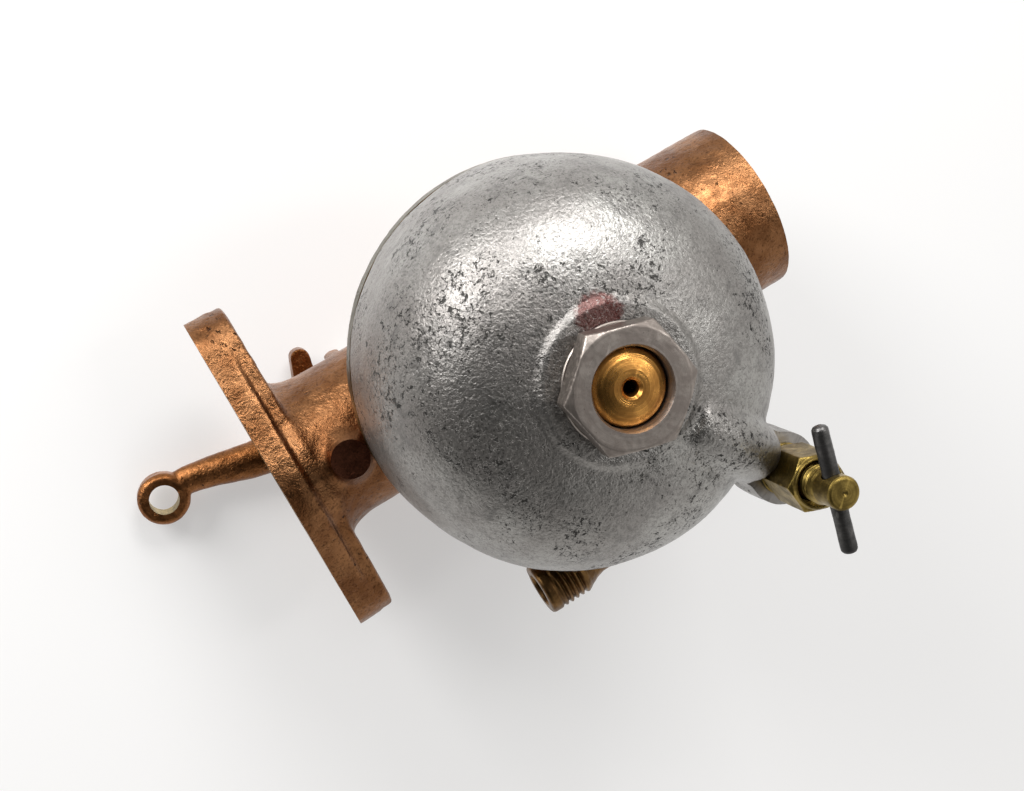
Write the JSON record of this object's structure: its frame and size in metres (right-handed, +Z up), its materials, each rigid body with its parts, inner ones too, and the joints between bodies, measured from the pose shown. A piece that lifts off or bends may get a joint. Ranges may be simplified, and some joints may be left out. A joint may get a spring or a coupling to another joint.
{
  "type": "carburettor",
  "caption": "Side-draft float-feed carburettor: cast body with mounting flange and air horn, hanging float bowl, float valve, butterfly throttle and choke, drain cock.",
  "frame": {"origin": "centre of the outlet bore in the gasket face of the mounting flange", "axes": "+Z up with the float bowl hanging down, +X from the flange along the barrel to the air horn, fuel inlet and drain cock on the +Y side"},
  "size_m": [0.1631, 0.0991, 0.134],
  "materials": {
    "cast_bronze": "sand cast, dull",
    "white_metal": "bead blasted",
    "turned_brass": "turned, tarnished",
    "grey_steel": "worn satin",
    "dark_steel": "oxidised",
    "cork": "shellacked cork",
    "fibre": "vulcanised fibre",
    "graphite": "graphited packing"
  },
  "bodies": {
    "carburettor_body": {"body_casting": "cast_bronze", "float_bowl": "white_metal", "bowl_gasket": "fibre", "standpipe": "turned_brass", "bowl_nut_washer": "grey_steel", "bowl_nut": "grey_steel", "drain_cock_body": "turned_brass", "idle_stop_screw": "grey_steel", "idle_lock_nut": "grey_steel", "venturi": "white_metal", "venturi_screw": "grey_steel", "needle_packing_nut": "turned_brass", "needle_packing": "graphite", "needle_spring": "grey_steel", "inlet_washer": "fibre", "inlet_elbow": "cast_bronze", "needle_seat": "turned_brass", "float_hinge_pin": "grey_steel"},
    "throttle": {"throttle_shaft": "grey_steel", "throttle_plate": "turned_brass", "throttle_plate_screw_1": "turned_brass", "throttle_plate_screw_2": "turned_brass", "throttle_lever": "cast_bronze", "throttle_lever_pin": "grey_steel"},
    "choke": {"choke_shaft": "grey_steel", "choke_plate": "turned_brass", "choke_plate_screw_1": "turned_brass", "choke_plate_screw_2": "turned_brass", "choke_lever": "cast_bronze", "choke_lever_pin": "grey_steel"},
    "float": {"cork_float": "cork", "float_arm": "turned_brass", "float_screw": "turned_brass"},
    "float_valve": {"float_needle": "grey_steel"},
    "needle_carrier": {"spring_cup_washer": "turned_brass"},
    "needle": {"mixture_needle": "turned_brass"},
    "drain_tip": {"drain_valve_tip": "turned_brass"},
    "drain_handle": {"drain_stem": "turned_brass", "drain_t_bar": "dark_steel"}
  },
  "joints": [
    {"name": "throttle_turn", "type": "hinge", "parent": "carburettor_body", "child": "throttle", "pos_m": [0.0162, 0, 0], "axis": [0, 0, -1], "range_deg": [0, 75]},
    {"name": "choke_turn", "type": "hinge", "parent": "carburettor_body", "child": "choke", "pos_m": [0.104, 0, 0], "axis": [0, 0, 1], "range_deg": [0, 80]},
    {"name": "float_lift", "type": "hinge", "parent": "carburettor_body", "child": "float", "pos_m": [0.062, 0.0355, -0.038], "axis": [-1, 0, 0], "range_deg": [0, 6]},
    {"name": "valve_lift", "type": "slide", "parent": "carburettor_body", "child": "float_valve", "axis": [0, 0, 1], "range_m": [0, 0.00064]},
    {"name": "needle_rise", "type": "slide", "parent": "carburettor_body", "child": "needle_carrier", "axis": [0, 0, 1], "range_m": [-0.0015, 0.003], "deforming": ["needle_spring"]},
    {"name": "needle_turn", "type": "hinge", "parent": "needle_carrier", "child": "needle", "pos_m": [0.0642, 0, 0], "axis": [0, 0, 1], "range_deg": [-540, 1080]},
    {"name": "drain_drop", "type": "slide", "parent": "carburettor_body", "child": "drain_tip", "axis": [0, 0, -1], "range_m": [0, 0.002]},
    {"name": "drain_turn", "type": "hinge", "parent": "drain_tip", "child": "drain_handle", "pos_m": [0.093, 0.0412, 0], "axis": [0, 0, -1], "range_deg": [0, 720]}
  ],
  "couplings": [
    {"joint": "valve_lift", "follows": "float_lift", "m_per_rad": 0.006},
    {"joint": "needle_turn", "follows": "needle_rise", "rad_per_m": 6283},
    {"joint": "drain_turn", "follows": "drain_drop", "rad_per_m": 6283}
  ]
}
